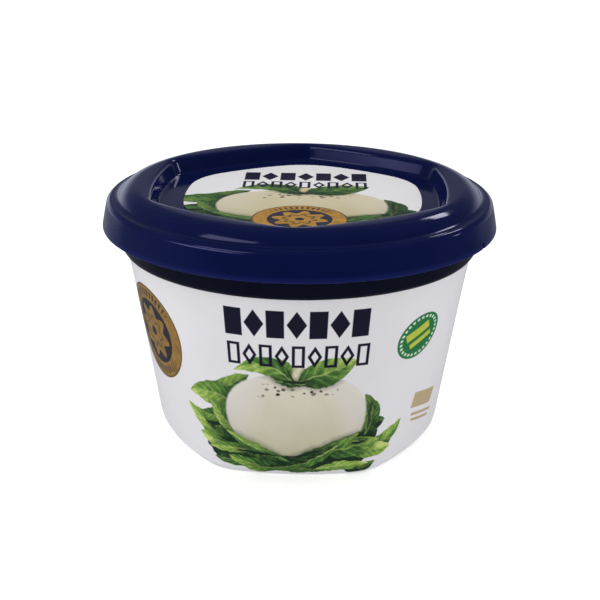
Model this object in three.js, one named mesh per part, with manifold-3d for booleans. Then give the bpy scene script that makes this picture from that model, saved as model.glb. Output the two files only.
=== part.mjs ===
// A shut plastic pot for one fresh cheese in brine: a tub that changes from a hexagon at the base to a
// circle at the rim, its wrap-round label, a push-on lid with a sunken hexagonal panel, and the label
// on that panel. Millimetres, +Z up. The origin is the middle of the base, on the surface that the pot
// stands on, and the front panel of the tub faces -Y.

import * as THREE from "three";
import { mergeVertices } from "three/addons/utils/BufferGeometryUtils.js";
import Module from "manifold-3d";

// How finely the round parts are divided.
const SEGMENTS = 72;
const WALL_LEVELS = 4;
const SHOULDER_STEPS = 6;
const WELD_DISTANCE = 1e-4;

// Gaps between pieces that touch on the real pot: the lid on the rim, and a film on what it covers.
const SEAT_GAP = 0.3;
const FILM_GAP = 0.1;

// Tub: base outline, the circle at the label's top edge, the neck and the rim.
const BASE_HEX = { apothem: 36.1, sideRadius: 76, cornerBlend: 2.4 };
const LABEL_TOP_RADIUS = 46.1;
const LABEL_TOP_Z = 51.8;
const WALL_LABEL_THICKNESS = 0.4;
const WALL_LABEL_BOTTOM_Z = 0.35;
const BASE_EDGE_RADIUS = 1.5;
const FOOT_INSET = 2.4;
const FOOT_WIDTH = 4.5;
const FOOT_HEIGHT = 0.6;
const BASE_RECESS_DEPTH = 1;
const FOOT_SPREAD = 0.3;
const RECESS_FILLET = 1;
const NECK_LEDGE = 0.6;
const NECK_RADIUS = 47.5;
const NECK_Z = 52.9;
const NECK_TOP_RADIUS = 48.8;
const NECK_TOP_Z = 57;
const RIM_RADIUS = 49.8;
const RIM_WIDTH = 2.2;
const RIM_DEPTH = 3.4;
const RIM_CHAMFER = 0.6;
const RIM_FOOT_CHAMFER = 0.4;

// Lid: skirt, shelf, domed ring and sunken panel.
const LIP_RADIUS = 52.5;
const LIP_Z = 58;
const LIP_ROUND = 0.5;
const LIP_BEND = { in: 0.15, up: 0.4 };
const SKIRT_TOP_RADIUS = 51.2;
const SKIRT_TOP_Z = 64.5;
const SKIRT_BELLY = { across: 0.4, up: 0.45 };
const SHELF_Z = 65.5;
const SHELF_RADIUS = 50.3;
const SHELF_ROUND = 0.4;
const SHELF_FALL = 0.1;
const SHELF_WIDTH = 1.1;
const LID_WALL = 1.1;
const CREST_RADIUS = 43.1;
const CREST_Z = 68.85;
const SHOULDER_REACH = 6.1;
const SHOULDER_DROP = 7.3;
const SHOULDER_END_DEGREES = 55;
const PANEL_HEX = { apothem: 38.8, sideRadius: 110, cornerBlend: 2 };
const PANEL_Z = 64.5;
const PANEL_FLANK = 1.6;
const PANEL_FILLET = 0.9;
const PANEL_BEND = { in: 0.45, up: 0.55 };
const FLANK_ROUND = { reach: 0.4, drop: 0.4, fall: 0.15, lean: 1.5 };

// Inside of the lid, where the wall turns under the ring.
const RING_INSIDE = { foot: 0.7, footDrop: 0.6, flank: 0.8, flankDrop: 1.9, crown: 1.3, crownDrop: 0.2 };
const SHELF_INSIDE = { inner: 2.8, outer: 0.7 };

// Lifting tab on the lip, between two notches.
const NOTCH_ANGLES = [-26, 9];
const NOTCH_WIDTH = 1.3;
const NOTCH_HEIGHT = 1.6;
const NOTCH_DEPTH = 6;

// Lid label: a six-sided film, a little off the panel's centre.
const LID_LABEL_HEX = { apothem: 31.5, sideRadius: 80, cornerBlend: 5 };
const LID_LABEL_THICKNESS = 0.3;
const LID_LABEL_OFFSET_X = 0.9;

const SIXTH_TURN = Math.PI / 3;

/** How far a side of a bowed hexagon lies from the centre, at an angle from that side's middle. */
function bowedSide(angle, hex) {
  const centre = hex.sideRadius - hex.apothem;
  const across = centre * Math.sin(angle);
  return Math.sqrt(hex.sideRadius ** 2 - across ** 2) - centre * Math.cos(angle);
}

/** How far a hexagon with bowed sides and rounded corners stands outside its inscribed circle. */
function hexBulge(angle, hex) {
  const turned = angle / SIXTH_TURN;
  const fromMiddle = Math.abs(turned - Math.round(turned)) * SIXTH_TURN;
  const near = bowedSide(fromMiddle, hex);
  const next = bowedSide(SIXTH_TURN - fromMiddle, hex);
  const blend = Math.max(hex.cornerBlend - Math.abs(near - next), 0) / hex.cornerBlend;
  return Math.min(near, next) - (blend ** 2 * hex.cornerBlend) / 4 - hex.apothem;
}

/** The tub's outline: the middles of two sides lie on the Y axis. */
const tubBulge = (angle) => hexBulge(angle, BASE_HEX);

/** The panel's outline: two corners lie on the Y axis. */
const panelBulge = (angle) => hexBulge(angle + SIXTH_TURN / 2, PANEL_HEX);

/** The lid label's outline, with its corners over the panel's. */
const lidLabelBulge = (angle) => hexBulge(angle + SIXTH_TURN / 2, LID_LABEL_HEX);

/** A station of a profile: radius, height, and how much of the hexagon's bulge is added to the radius. */
const station = (r, z, share = 0) => ({ r, z, share });

/**
 * Turns a profile about +Z and pushes each point out by its share of the bulge. The profile runs
 * anticlockwise in the r-z plane, and starts and ends on the axis or closes on itself.
 */
function turnedShape(profile, bulge) {
  const points = profile.map(({ r, z }) => new THREE.Vector2(r, z));
  const lathe = new THREE.LatheGeometry(points, SEGMENTS);
  lathe.rotateX(Math.PI / 2);
  const position = lathe.getAttribute("position");
  for (let i = 0; i < position.count; i += 1) {
    const { r, z, share } = profile[i % profile.length];
    const slice = Math.floor(i / profile.length) % SEGMENTS;
    const angle = (slice / SEGMENTS) * 2 * Math.PI;
    const reach = r + share * bulge(angle);
    position.setXYZ(i, reach * Math.sin(angle), -reach * Math.cos(angle), z);
  }
  return weld(lathe);
}

/** Merges shared vertices, and drops the faces that have shrunk to a line on the axis. */
function weld(geometry) {
  geometry.deleteAttribute("normal");
  geometry.deleteAttribute("uv");
  const merged = mergeVertices(geometry, WELD_DISTANCE);
  const source = merged.getIndex().array;
  const kept = [];
  for (let i = 0; i < source.length; i += 3) {
    const [a, b, c] = source.slice(i, i + 3);
    if (a !== b && b !== c && c !== a) {
      kept.push(a, b, c);
    }
  }
  merged.setIndex(kept);
  return merged;
}

/** The wall's radius at a side's middle. The wall is straight from the base to the label's top edge. */
function wallRadius(z) {
  return THREE.MathUtils.lerp(BASE_HEX.apothem, LABEL_TOP_RADIUS, z / LABEL_TOP_Z);
}

/** A station on the tub's wall, moved in from the label's outer face. */
function wallStation(z, inset) {
  return station(wallRadius(z) - inset, z, 1 - z / LABEL_TOP_Z);
}

/** Heights between the base's rounded edge and the label's top edge. */
const wallHeights = Array.from({ length: WALL_LEVELS + 1 }, (_, i) =>
  THREE.MathUtils.lerp(BASE_EDGE_RADIUS, LABEL_TOP_Z, i / WALL_LEVELS),
);

/** The tub with its closed contents: foot, wall, neck and rim under the lid. */
function makeTub() {
  const inset = WALL_LABEL_THICKNESS + FILM_GAP;
  const footOuter = BASE_HEX.apothem - FOOT_INSET;
  const footInner = footOuter - FOOT_WIDTH;
  const rimTop = SHELF_Z - LID_WALL - SEAT_GAP;
  const sealedTop = PANEL_Z - LID_WALL - SEAT_GAP;
  const profile = [
    station(0, BASE_RECESS_DEPTH),
    station(footInner - RECESS_FILLET, BASE_RECESS_DEPTH, 1),
    station(footInner, 0, 1),
    station(footOuter, 0, 1),
    station(footOuter + FOOT_SPREAD, FOOT_HEIGHT, 1),
    ...wallHeights.map((z) => wallStation(z, inset)),
    station(LABEL_TOP_RADIUS, LABEL_TOP_Z + FILM_GAP),
    station(LABEL_TOP_RADIUS + NECK_LEDGE, LABEL_TOP_Z + FILM_GAP),
    station(NECK_RADIUS, NECK_Z),
    station(NECK_TOP_RADIUS, NECK_TOP_Z),
    station(RIM_RADIUS - RIM_FOOT_CHAMFER, rimTop - RIM_DEPTH),
    station(RIM_RADIUS, rimTop - RIM_DEPTH + RIM_FOOT_CHAMFER),
    station(RIM_RADIUS, rimTop - RIM_CHAMFER),
    station(RIM_RADIUS - RIM_CHAMFER, rimTop),
    station(RIM_RADIUS - RIM_WIDTH + RIM_CHAMFER, rimTop),
    station(RIM_RADIUS - RIM_WIDTH, sealedTop),
    station(0, sealedTop),
  ];
  return turnedShape(profile, tubBulge);
}

/** The wrap-round label: a film that follows the wall and turns in over the base's rounded edge. */
function makeWallLabel() {
  const edgeCentre = BASE_HEX.apothem - BASE_EDGE_RADIUS;
  const lastTurn = Math.asin(1 - WALL_LABEL_BOTTOM_Z / BASE_EDGE_RADIUS);
  const outerEdge = [lastTurn, lastTurn / 2].map((turn) => {
    const z = BASE_EDGE_RADIUS * (1 - Math.sin(turn));
    return station(edgeCentre + BASE_EDGE_RADIUS * Math.cos(turn), z, 1);
  });
  const innerEdge = outerEdge.map(({ r, z }) => station(r - WALL_LABEL_THICKNESS, z, 1));
  const outer = [...outerEdge, ...wallHeights.map((z) => wallStation(z, 0))];
  const inner = [...innerEdge, ...wallHeights.map((z) => wallStation(z, WALL_LABEL_THICKNESS))];
  const profile = [...outer, ...inner.reverse(), outer[0]];
  return turnedShape(profile, tubBulge);
}

/** Stations down the ring's outer shoulder, part of an ellipse, from its crest outwards. */
function shoulder(inset) {
  return Array.from({ length: SHOULDER_STEPS + 1 }, (_, i) => {
    const turn = THREE.MathUtils.degToRad((SHOULDER_END_DEGREES * i) / SHOULDER_STEPS);
    const r = CREST_RADIUS + (SHOULDER_REACH - inset) * Math.sin(turn);
    const z = CREST_Z - inset - (SHOULDER_DROP - inset) * (1 - Math.cos(turn));
    return station(r, z);
  });
}

/** The lid before its notches: skirt, shelf, domed ring and sunken panel, all about one wall thick. */
function makeLidBody() {
  const edge = PANEL_HEX.apothem;
  const floorEdge = edge - PANEL_FLANK;
  const skirtTurn = THREE.MathUtils.lerp(LIP_RADIUS, SKIRT_TOP_RADIUS, SKIRT_BELLY.across);
  const skirtTurnZ = THREE.MathUtils.lerp(LIP_Z, SKIRT_TOP_Z, SKIRT_BELLY.up);
  const crestZ = CREST_Z - FLANK_ROUND.fall;
  const outside = [
    station(LIP_RADIUS - LIP_ROUND, LIP_Z),
    station(LIP_RADIUS - LIP_ROUND * LIP_BEND.in, LIP_Z + LIP_ROUND * LIP_BEND.up),
    station(LIP_RADIUS, LIP_Z + LIP_ROUND),
    station(skirtTurn, skirtTurnZ),
    station(SKIRT_TOP_RADIUS, SKIRT_TOP_Z),
    station(SKIRT_TOP_RADIUS - SHELF_ROUND, SKIRT_TOP_Z + SHELF_ROUND + SHELF_FALL),
    station(SHELF_RADIUS, SHELF_Z - SHELF_FALL),
    station(SHELF_RADIUS - SHELF_WIDTH, SHELF_Z),
    ...shoulder(0).reverse(),
    station(edge + FLANK_ROUND.reach, crestZ, 1),
    station(edge, crestZ - FLANK_ROUND.drop, 1),
    station(edge - FLANK_ROUND.reach, CREST_Z - FLANK_ROUND.lean, 1),
    station(floorEdge, PANEL_Z + PANEL_FILLET * PANEL_BEND.up, 1),
    station(floorEdge - PANEL_FILLET * PANEL_BEND.in, PANEL_Z + SHELF_FALL, 1),
    station(floorEdge - PANEL_FILLET, PANEL_Z, 1),
    station(0, PANEL_Z),
  ];
  const insideCrownZ = CREST_Z - LID_WALL - RING_INSIDE.crownDrop;
  const inside = [
    station(0, PANEL_Z - LID_WALL),
    station(floorEdge + RING_INSIDE.foot, PANEL_Z - LID_WALL, 1),
    station(floorEdge + LID_WALL, PANEL_Z - RING_INSIDE.footDrop, 1),
    station(edge + RING_INSIDE.flank, CREST_Z - RING_INSIDE.flankDrop, 1),
    station(edge + RING_INSIDE.crown, insideCrownZ, 1),
    ...shoulder(LID_WALL),
    station(SHELF_RADIUS - SHELF_INSIDE.inner, SHELF_Z - LID_WALL),
    station(SHELF_RADIUS - SHELF_INSIDE.outer, SHELF_Z - LID_WALL),
    station(SKIRT_TOP_RADIUS - LID_WALL, SKIRT_TOP_Z - LID_WALL),
    station(LIP_RADIUS - LID_WALL, LIP_Z),
  ];
  return turnedShape([...outside, ...inside, outside[0]], panelBulge);
}

const wasm = await Module();
wasm.setup();

/** A closed geometry as a solid that can be cut. */
function toSolid(geometry) {
  const merged = weld(geometry);
  const vertProperties = new Float32Array(merged.getAttribute("position").array);
  const triVerts = new Uint32Array(merged.getIndex().array);
  return new wasm.Manifold(new wasm.Mesh({ numProp: 3, vertProperties, triVerts }));
}

/** A cut solid as a geometry again. */
function toGeometry(solid) {
  const { vertProperties, triVerts } = solid.getMesh();
  const geometry = new THREE.BufferGeometry();
  geometry.setAttribute("position", new THREE.BufferAttribute(vertProperties, 3));
  geometry.setIndex(new THREE.BufferAttribute(triVerts, 1));
  return geometry;
}

/** The lid with the notches at both ends of its lifting tab. */
function makeLid() {
  let solid = toSolid(makeLidBody());
  for (const degrees of NOTCH_ANGLES) {
    const block = new THREE.BoxGeometry(NOTCH_DEPTH, NOTCH_WIDTH, 2 * NOTCH_HEIGHT);
    block.translate(LIP_RADIUS, 0, LIP_Z);
    block.rotateZ(THREE.MathUtils.degToRad(degrees));
    solid = solid.subtract(toSolid(block));
  }
  return toGeometry(solid);
}

/** The film on the lid's sunken panel. */
function makeLidLabel() {
  const radius = LID_LABEL_HEX.apothem;
  const profile = [
    station(0, 0),
    station(radius, 0, 1),
    station(radius, LID_LABEL_THICKNESS, 1),
    station(0, LID_LABEL_THICKNESS),
  ];
  return turnedShape(profile, lidLabelBulge);
}

/** A named piece with its finish. */
function piece(name, geometry, finish) {
  geometry.computeVertexNormals();
  const mesh = new THREE.Mesh(geometry, new THREE.MeshStandardMaterial(finish));
  mesh.name = name;
  return mesh;
}

const tubPlastic = { color: 0x10131f, roughness: 0.42, metalness: 0 };
const lidPlastic = { color: 0x11164a, roughness: 0.34, metalness: 0 };
const printedFilm = { color: 0xe6e6ea, roughness: 0.38, metalness: 0 };

const pot = new THREE.Group();
pot.add(piece("tub", makeTub(), tubPlastic));
pot.add(piece("wall_label", makeWallLabel(), printedFilm));
pot.add(piece("lid", makeLid(), lidPlastic));

const lidLabel = piece("lid_label", makeLidLabel(), printedFilm);
lidLabel.position.set(LID_LABEL_OFFSET_X, 0, PANEL_Z + FILM_GAP);
pot.add(lidLabel);

export default pot;
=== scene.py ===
# %% [markdown]
# # A shut tub of burrata
# A black plastic tub that is a hexagon at its base and a circle at its rim, wrapped in a printed
# film, and closed by a navy lid with a domed ring round a sunken hexagonal panel. The scene is
# built round a frame of exact solids, so every size below is a real size and every piece lands on
# its solid.

# %% Open the frame
import math

import bmesh
import bpy
from mathutils import Matrix, Vector


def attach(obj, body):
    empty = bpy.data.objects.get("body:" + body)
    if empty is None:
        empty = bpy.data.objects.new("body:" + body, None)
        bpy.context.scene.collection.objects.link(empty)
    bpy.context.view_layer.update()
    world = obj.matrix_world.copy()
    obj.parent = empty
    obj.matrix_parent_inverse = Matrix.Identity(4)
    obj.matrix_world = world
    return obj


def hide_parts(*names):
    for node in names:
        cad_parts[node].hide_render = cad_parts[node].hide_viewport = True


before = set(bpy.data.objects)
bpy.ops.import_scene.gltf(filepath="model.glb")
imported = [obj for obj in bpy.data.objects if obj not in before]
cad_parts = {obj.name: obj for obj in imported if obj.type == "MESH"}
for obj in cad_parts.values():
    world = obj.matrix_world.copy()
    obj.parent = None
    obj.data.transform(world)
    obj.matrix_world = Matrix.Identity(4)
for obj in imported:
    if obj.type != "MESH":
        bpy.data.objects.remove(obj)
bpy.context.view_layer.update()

# %% [markdown]
# ## Sizes
# A mould maker draws such a pot from a few driving sizes: circles, bowed hexagons and heights. They
# are kept in millimetres, as on the drawing, and turned into metres once, where a mesh is made. The
# origin is the middle of the base and the front panel faces -Y.

# %% Driving sizes in millimetres
MM = 0.001
SEGMENTS = 240

BASE_HEX = {"apothem": 36.1, "side_radius": 76, "corner": 2.4, "turn": 0}
PANEL_HEX = {"apothem": 38.8, "side_radius": 110, "corner": 2, "turn": 30}
LID_LABEL_HEX = {"apothem": 31.5, "side_radius": 80, "corner": 5, "turn": 30}

LABEL_TOP_RADIUS = 46.1
LABEL_TOP_Z = 51.8
LABEL_FOOT_Z = 0.35
BASE_EDGE_RADIUS = 1.5
FILM = 0.4
FILM_GAP = 0.1

LIP_RADIUS = 52.5
LIP_Z = 58
CREST_RADIUS = 43.1
CREST_Z = 68.85
PANEL_Z = 64.5
LID_WALL = 1.1
print("the pot is", CREST_Z, "mm high and", 2 * LIP_RADIUS, "mm across its lid")

# %% [markdown]
# ## The outline law
# Each hexagon has sides that bow outwards a little and corners that are blended round. Instead of
# drawing it, a formula says how far the outline stands outside its inscribed circle at any angle.
# A share of that bulge, from 1 at the base to 0 at the rim, turns the hexagon into the circle. The
# lid's hexagons are turned by 30 degrees, which puts their corners over the base's sides.

# %% Bowed hexagon
SIXTH = math.radians(60)


def bowed_side(angle, hexagon):
    """Distance from the centre to a bowed side, at an angle from that side's middle."""
    centre = hexagon["side_radius"] - hexagon["apothem"]
    across = centre * math.sin(angle)
    return math.sqrt(hexagon["side_radius"] ** 2 - across ** 2) - centre * math.cos(angle)


def hex_bulge(angle, hexagon):
    """How far the rounded hexagon stands outside its inscribed circle."""
    sixths = (angle + math.radians(hexagon["turn"])) / SIXTH
    from_middle = abs(sixths - round(sixths)) * SIXTH
    near = bowed_side(from_middle, hexagon)
    following = bowed_side(SIXTH - from_middle, hexagon)
    softness = hexagon["corner"]
    blend = max(softness - abs(near - following), 0) / softness
    return min(near, following) - blend ** 2 * softness / 4 - hexagon["apothem"]


corner_radius = BASE_HEX["apothem"] + hex_bulge(SIXTH / 2, BASE_HEX)
print("base corner radius", round(corner_radius, 2), "mm")

# %% [markdown]
# ## Turning a profile
# Moulded pots are bodies of revolution in spirit, so each piece starts as half a section: a few
# corners, each with its own rounding. The corners are softened first, because no moulded edge is
# sharp. Blender's spin operator then carries the section once round the axis, and each vertex
# moves out by its share of the bulge, which it keeps in a layer that the spin copies along.

# %% Section helpers
CORNER_STEPS = 5
SHARP_FROM = math.radians(50)
MERGE_WITHIN = 0.0005 * MM
ON_AXIS = 0.01 * MM


def corner(radius, height, share=0, rounding=0):
    """A corner of a section: radius, height, share of the bulge, and how much of it is rounded."""
    return Vector((radius, height, share)), rounding


def rounded(corners):
    """Replaces each corner by a short curve that starts and ends at most its rounding away."""
    points = []
    for index, (here, rounding) in enumerate(corners):
        inner = 0 < index < len(corners) - 1
        if not rounding or not inner:
            points.append(here)
            continue
        before = corners[index - 1][0]
        after = corners[index + 1][0]
        start = here.lerp(before, min(rounding / (before - here).length, 0.5))
        end = here.lerp(after, min(rounding / (after - here).length, 0.5))
        for step in range(CORNER_STEPS + 1):
            t = step / CORNER_STEPS
            points.append(start.lerp(here, t).lerp(here.lerp(end, t), t))
    return points


def finish_mesh(name, bm):
    """Turns a bmesh into an object, shaded smooth except across real edges."""
    mesh = bpy.data.meshes.new(name)
    bm.to_mesh(mesh)
    bm.free()
    mesh.shade_smooth()
    mesh.set_sharp_from_angle(angle=SHARP_FROM)
    piece = bpy.data.objects.new(name, mesh)
    bpy.context.scene.collection.objects.link(piece)
    print(name, len(mesh.polygons), "faces")
    return piece


def turned(section, hexagon, closed=True):
    """Spins a section once round +Z and pushes every vertex out by its share of the bulge."""
    bm = bmesh.new()
    share = bm.verts.layers.float.new("share")
    stations = []
    for radius, height, amount in section:
        vert = bm.verts.new((0, radius * MM, height * MM))
        vert[share] = amount
        stations.append(vert)
    edges = [bm.edges.new(pair) for pair in zip(stations, stations[1:])]
    if closed:
        edges.append(bm.edges.new((stations[-1], stations[0])))
    bmesh.ops.spin(bm, geom=stations + edges, cent=(0, 0, 0), axis=(0, 0, 1),
                   angle=math.tau, steps=SEGMENTS, use_merge=True)
    bmesh.ops.remove_doubles(bm, verts=bm.verts, dist=MERGE_WITHIN)
    for vert in bm.verts:
        reach = math.hypot(vert.co.x, vert.co.y)
        if reach > ON_AXIS:
            bulge = hex_bulge(math.atan2(vert.co.x, -vert.co.y), hexagon)
            pushed = 1 + vert[share] * bulge * MM / reach
            vert.co.x *= pushed
            vert.co.y *= pushed
    bmesh.ops.recalc_face_normals(bm, faces=bm.faces)
    return bm


def wall_point(height, inset, rounding=0):
    """A corner on the straight wall, moved in from the film's outer face."""
    part = height / LABEL_TOP_Z
    radius = BASE_HEX["apothem"] + (LABEL_TOP_RADIUS - BASE_HEX["apothem"]) * part
    return corner(radius - inset, height, 1 - part, rounding)


# %% [markdown]
# ## The tub
# The tub is a dark injection-moulded pot. Only its neck shows between the film and the lid, and
# its foot ring shows from below, but the whole section is drawn so that both sit on a real body.
# The contents can't be seen, so the pot is closed just under the lid's panel. Each row of the
# section is a radius, a height, the share of the bulge and the rounding.

# %% Tub body
FOOT_SETBACK = 2.4
FOOT_WIDTH = 4.5
FOOT_HEIGHT = 1
NECK_LEDGE = 0.6
NECK_RADIUS, NECK_Z = 47.5, 52.9
NECK_TOP_RADIUS, NECK_TOP_Z = 48.8, 57
RIM_RADIUS, RIM_FOOT_Z, RIM_TOP_Z = 49.8, 61.1, 64.1
RIM_EASE = 0.4
RIM_INNER_RADIUS = 48.7
CLOSED_RADIUS, CLOSED_Z = 47.7, 63.1

wall_inset = FILM + FILM_GAP
ledge_z = LABEL_TOP_Z + FILM_GAP
foot_outer = BASE_HEX["apothem"] - FOOT_SETBACK
foot_inner = foot_outer - FOOT_WIDTH
tub_section = rounded([
    corner(0, FOOT_HEIGHT),
    corner(foot_inner - 1, FOOT_HEIGHT, 1, 0.4),
    corner(foot_inner, 0, 1, 0.4),
    corner(foot_outer, 0, 1, 0.3),
    corner(foot_outer + 0.4, 0.6, 1, 0.2),
    wall_point(BASE_EDGE_RADIUS, wall_inset, 1),
    wall_point(LABEL_TOP_Z, wall_inset),
    corner(LABEL_TOP_RADIUS, ledge_z, 0, 0.1),
    corner(LABEL_TOP_RADIUS + NECK_LEDGE, ledge_z, 0, 0.3),
    corner(NECK_RADIUS, NECK_Z, 0, 0.6),
    corner(NECK_TOP_RADIUS, NECK_TOP_Z, 0, 1),
    corner(RIM_RADIUS - RIM_EASE, RIM_FOOT_Z - RIM_EASE, 0, 0.3),
    corner(RIM_RADIUS, RIM_FOOT_Z, 0, 0.2),
    corner(RIM_RADIUS, RIM_TOP_Z - 0.3, 0, 0.5),
    corner(RIM_INNER_RADIUS, RIM_TOP_Z, 0, 0.5),
    corner(CLOSED_RADIUS, CLOSED_Z, 0, 0.4),
    corner(0, CLOSED_Z),
])
tub = finish_mesh("tub_body", turned(tub_section, BASE_HEX, closed=False))
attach(tub, "root")
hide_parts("tub")

# %% [markdown]
# ## The wrap-round film
# The label is a printed film that follows the wall exactly, from just under the neck to the floor,
# where it turns in over the base's rounded edge. A turned section with the wall's own law fits it
# better than a shrinkwrap would, and leaves a clean cut edge at the top.

# %% Wall label
HEM_STEPS = 6
WALL_STEPS = 24
VISIBLE_FILM = 0.3
edge_centre = BASE_HEX["apothem"] - BASE_EDGE_RADIUS
last_turn = math.asin(1 - LABEL_FOOT_Z / BASE_EDGE_RADIUS)


def hem_point(step, inset):
    """A point on the film where it turns in under the pot."""
    turn = last_turn * (1 - step / HEM_STEPS)
    radius = edge_centre + (BASE_EDGE_RADIUS - inset) * math.cos(turn)
    height = BASE_EDGE_RADIUS - (BASE_EDGE_RADIUS - inset) * math.sin(turn)
    return Vector((radius, height, 1))


film_heights = [BASE_EDGE_RADIUS + (LABEL_TOP_Z - BASE_EDGE_RADIUS) * step / WALL_STEPS
                for step in range(1, WALL_STEPS + 1)]
outer_face = [hem_point(step, 0) for step in range(HEM_STEPS + 1)]
outer_face += [wall_point(height, 0)[0] for height in film_heights]
inner_face = [hem_point(step, VISIBLE_FILM) for step in range(HEM_STEPS + 1)]
inner_face += [wall_point(height, VISIBLE_FILM)[0] for height in film_heights]
wall_label = finish_mesh("wall_film", turned(outer_face + inner_face[::-1], BASE_HEX))
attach(wall_label, "root")
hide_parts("wall_label")

# %% [markdown]
# ## The lid
# The lid is one thin wall: a flared skirt with a rounded lip, a narrow shelf, a ring that swells
# into a dome, and a flank that drops to a six-sided panel. The dome's shoulder is a quarter of an
# ellipse. The outside is drawn from the lip to the middle and the inside back again, one wall
# away.

# %% Lid section
SHOULDER_REACH = 6.1
SHOULDER_DROP = 7.3
SHOULDER_END = math.radians(55)
SHOULDER_STEPS = 18
LIP_WIDTH = 0.6
SKIRT_BEND_SETBACK, SKIRT_BEND_RISE = 0.52, 2.9
SKIRT_TOP_RADIUS, SKIRT_TOP_Z = 51.2, 64.6
SHELF_RADIUS, SHELF_Z = 50.35, 65.45
SHELF_INNER_RADIUS = 49.2
CREST_FLAT = 1.6
FLANK_FOOT = 37.1
PANEL_FLAT = 36.3
PANEL_MIDDLE = 30
SHELF_UNDERSIDE = 64.4


def shoulder(inset, outwards):
    """Points on the dome's elliptical shoulder, between its crest and its foot."""
    points = []
    for step in range(SHOULDER_STEPS + 1):
        turn = SHOULDER_END * step / SHOULDER_STEPS
        radius = CREST_RADIUS + (SHOULDER_REACH - inset) * math.sin(turn)
        height = CREST_Z - inset - (SHOULDER_DROP - inset) * (1 - math.cos(turn))
        points.append(Vector((radius, height, 0)))
    return points if outwards else points[::-1]


shoulder_outside = shoulder(0, outwards=False)
panel_edge = PANEL_HEX["apothem"]
skirt_outside = rounded([
    corner(LIP_RADIUS - LIP_WIDTH, LIP_Z),
    corner(LIP_RADIUS, LIP_Z, 0, 0.5),
    corner(LIP_RADIUS - SKIRT_BEND_SETBACK, LIP_Z + SKIRT_BEND_RISE, 0, 1.5),
    corner(SKIRT_TOP_RADIUS, SKIRT_TOP_Z, 0, 0.45),
    corner(SHELF_RADIUS, SHELF_Z, 0, 0.3),
    corner(SHELF_INNER_RADIUS, SHELF_Z, 0, 0.5),
    corner(*shoulder_outside[0]),
])
panel_outside = rounded([
    corner(CREST_RADIUS - CREST_FLAT, CREST_Z - 0.02, 0.45),
    corner(panel_edge + 0.5, CREST_Z - 0.1, 1, 0.4),
    corner(panel_edge - 0.15, CREST_Z - 0.5, 1, 0.8),
    corner(FLANK_FOOT, PANEL_Z + 0.2, 1, 0.7),
    corner(PANEL_FLAT, PANEL_Z, 1, 0.4),
    corner(PANEL_MIDDLE, PANEL_Z, 0.8),
    corner(0, PANEL_Z),
])
panel_inside = rounded([
    corner(0, PANEL_Z - LID_WALL),
    corner(PANEL_FLAT - 0.1, PANEL_Z - LID_WALL, 1),
    corner(FLANK_FOOT + LID_WALL, PANEL_Z - 0.7, 1, 0.8),
    corner(panel_edge + 0.9, CREST_Z - LID_WALL - 0.6, 1, 1),
    corner(panel_edge + 1.5, CREST_Z - LID_WALL - 0.1, 1),
])
skirt_inside = rounded([
    corner(SHELF_INNER_RADIUS - 1.7, SHELF_UNDERSIDE),
    corner(SHELF_INNER_RADIUS + 0.4, SHELF_UNDERSIDE, 0, 0.4),
    corner(SKIRT_TOP_RADIUS - LID_WALL, SHELF_UNDERSIDE - 1, 0, 0.4),
    corner(LIP_RADIUS - LID_WALL, LIP_Z + 0.3, 0, 0.4),
])
lid_section = skirt_outside + shoulder_outside[1:] + panel_outside
lid_section += panel_inside + shoulder(LID_WALL, outwards=True) + skirt_inside
print("the lid's section has", len(lid_section), "points")

# %% [markdown]
# ## Notches in the lip
# Two small notches in the lip leave a tab between them for lifting the lid. A saw would make three
# cuts for each notch, and so does Blender: two upright bisections and a level one, only in the
# faces near by. The faces between the cuts are deleted and the open ends are closed with flat
# faces.

# %% Notch helper
NOTCH_ANGLES = (-26, 9)
NOTCH_WIDTH = 1.3
NOTCH_HEIGHT = 1.6
NOTCH_REACH = 6 * MM
TOUCH = 0.001 * MM
SKIRT_ZONE = 45 * MM


def near_by(bm):
    """The lip's faces on the +X side, within the reach of the notch."""
    faces = []
    for face in bm.faces:
        middle = face.calc_center_median()
        on_skirt = middle.x > SKIRT_ZONE and middle.z < LIP_Z * MM + NOTCH_REACH
        if on_skirt and abs(middle.y) < NOTCH_REACH:
            faces.append(face)
    return faces


def cut_notch(bm, degrees):
    """Cuts a notch into the lip at an angle from +X."""
    half, top = NOTCH_WIDTH / 2 * MM, (LIP_Z + NOTCH_HEIGHT) * MM
    to_notch = Matrix.Rotation(math.radians(-degrees), 3, "Z")
    bmesh.ops.rotate(bm, verts=bm.verts, cent=(0, 0, 0), matrix=to_notch)
    cuts = [((0, -half, 0), (0, 1, 0)), ((0, half, 0), (0, 1, 0)), ((0, 0, top), (0, 0, 1))]
    for point, direction in cuts:
        faces = near_by(bm)
        edges = {edge for face in faces for edge in face.edges}
        verts = {vert for face in faces for vert in face.verts}
        bmesh.ops.bisect_plane(bm, geom=[*verts, *edges, *faces], dist=TOUCH / 10,
                               plane_co=point, plane_no=direction)
    inside = [face for face in near_by(bm)
              if abs(face.calc_center_median().y) < half and face.calc_center_median().z < top]
    bmesh.ops.delete(bm, geom=inside, context="FACES")
    rim = [edge for edge in bm.edges if edge.is_boundary]
    corners = [vert for vert in {vert for edge in rim for vert in edge.verts}
               if abs(vert.co.z - top) < TOUCH and abs(abs(vert.co.y) - half) < TOUCH]
    joints = []
    for side in (-1, 1):
        joints.append(bm.edges.new([vert for vert in corners if vert.co.y * side > 0]))
        wall = [edge for edge in rim
                if all(abs(vert.co.y - side * half) < TOUCH for vert in edge.verts)]
        bmesh.ops.contextual_create(bm, geom=wall + joints[-1:])
    ceiling = [edge for edge in rim if all(abs(vert.co.z - top) < TOUCH for vert in edge.verts)]
    bmesh.ops.contextual_create(bm, geom=ceiling + joints)
    bmesh.ops.rotate(bm, verts=bm.verts, cent=(0, 0, 0), matrix=to_notch.inverted())


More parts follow.
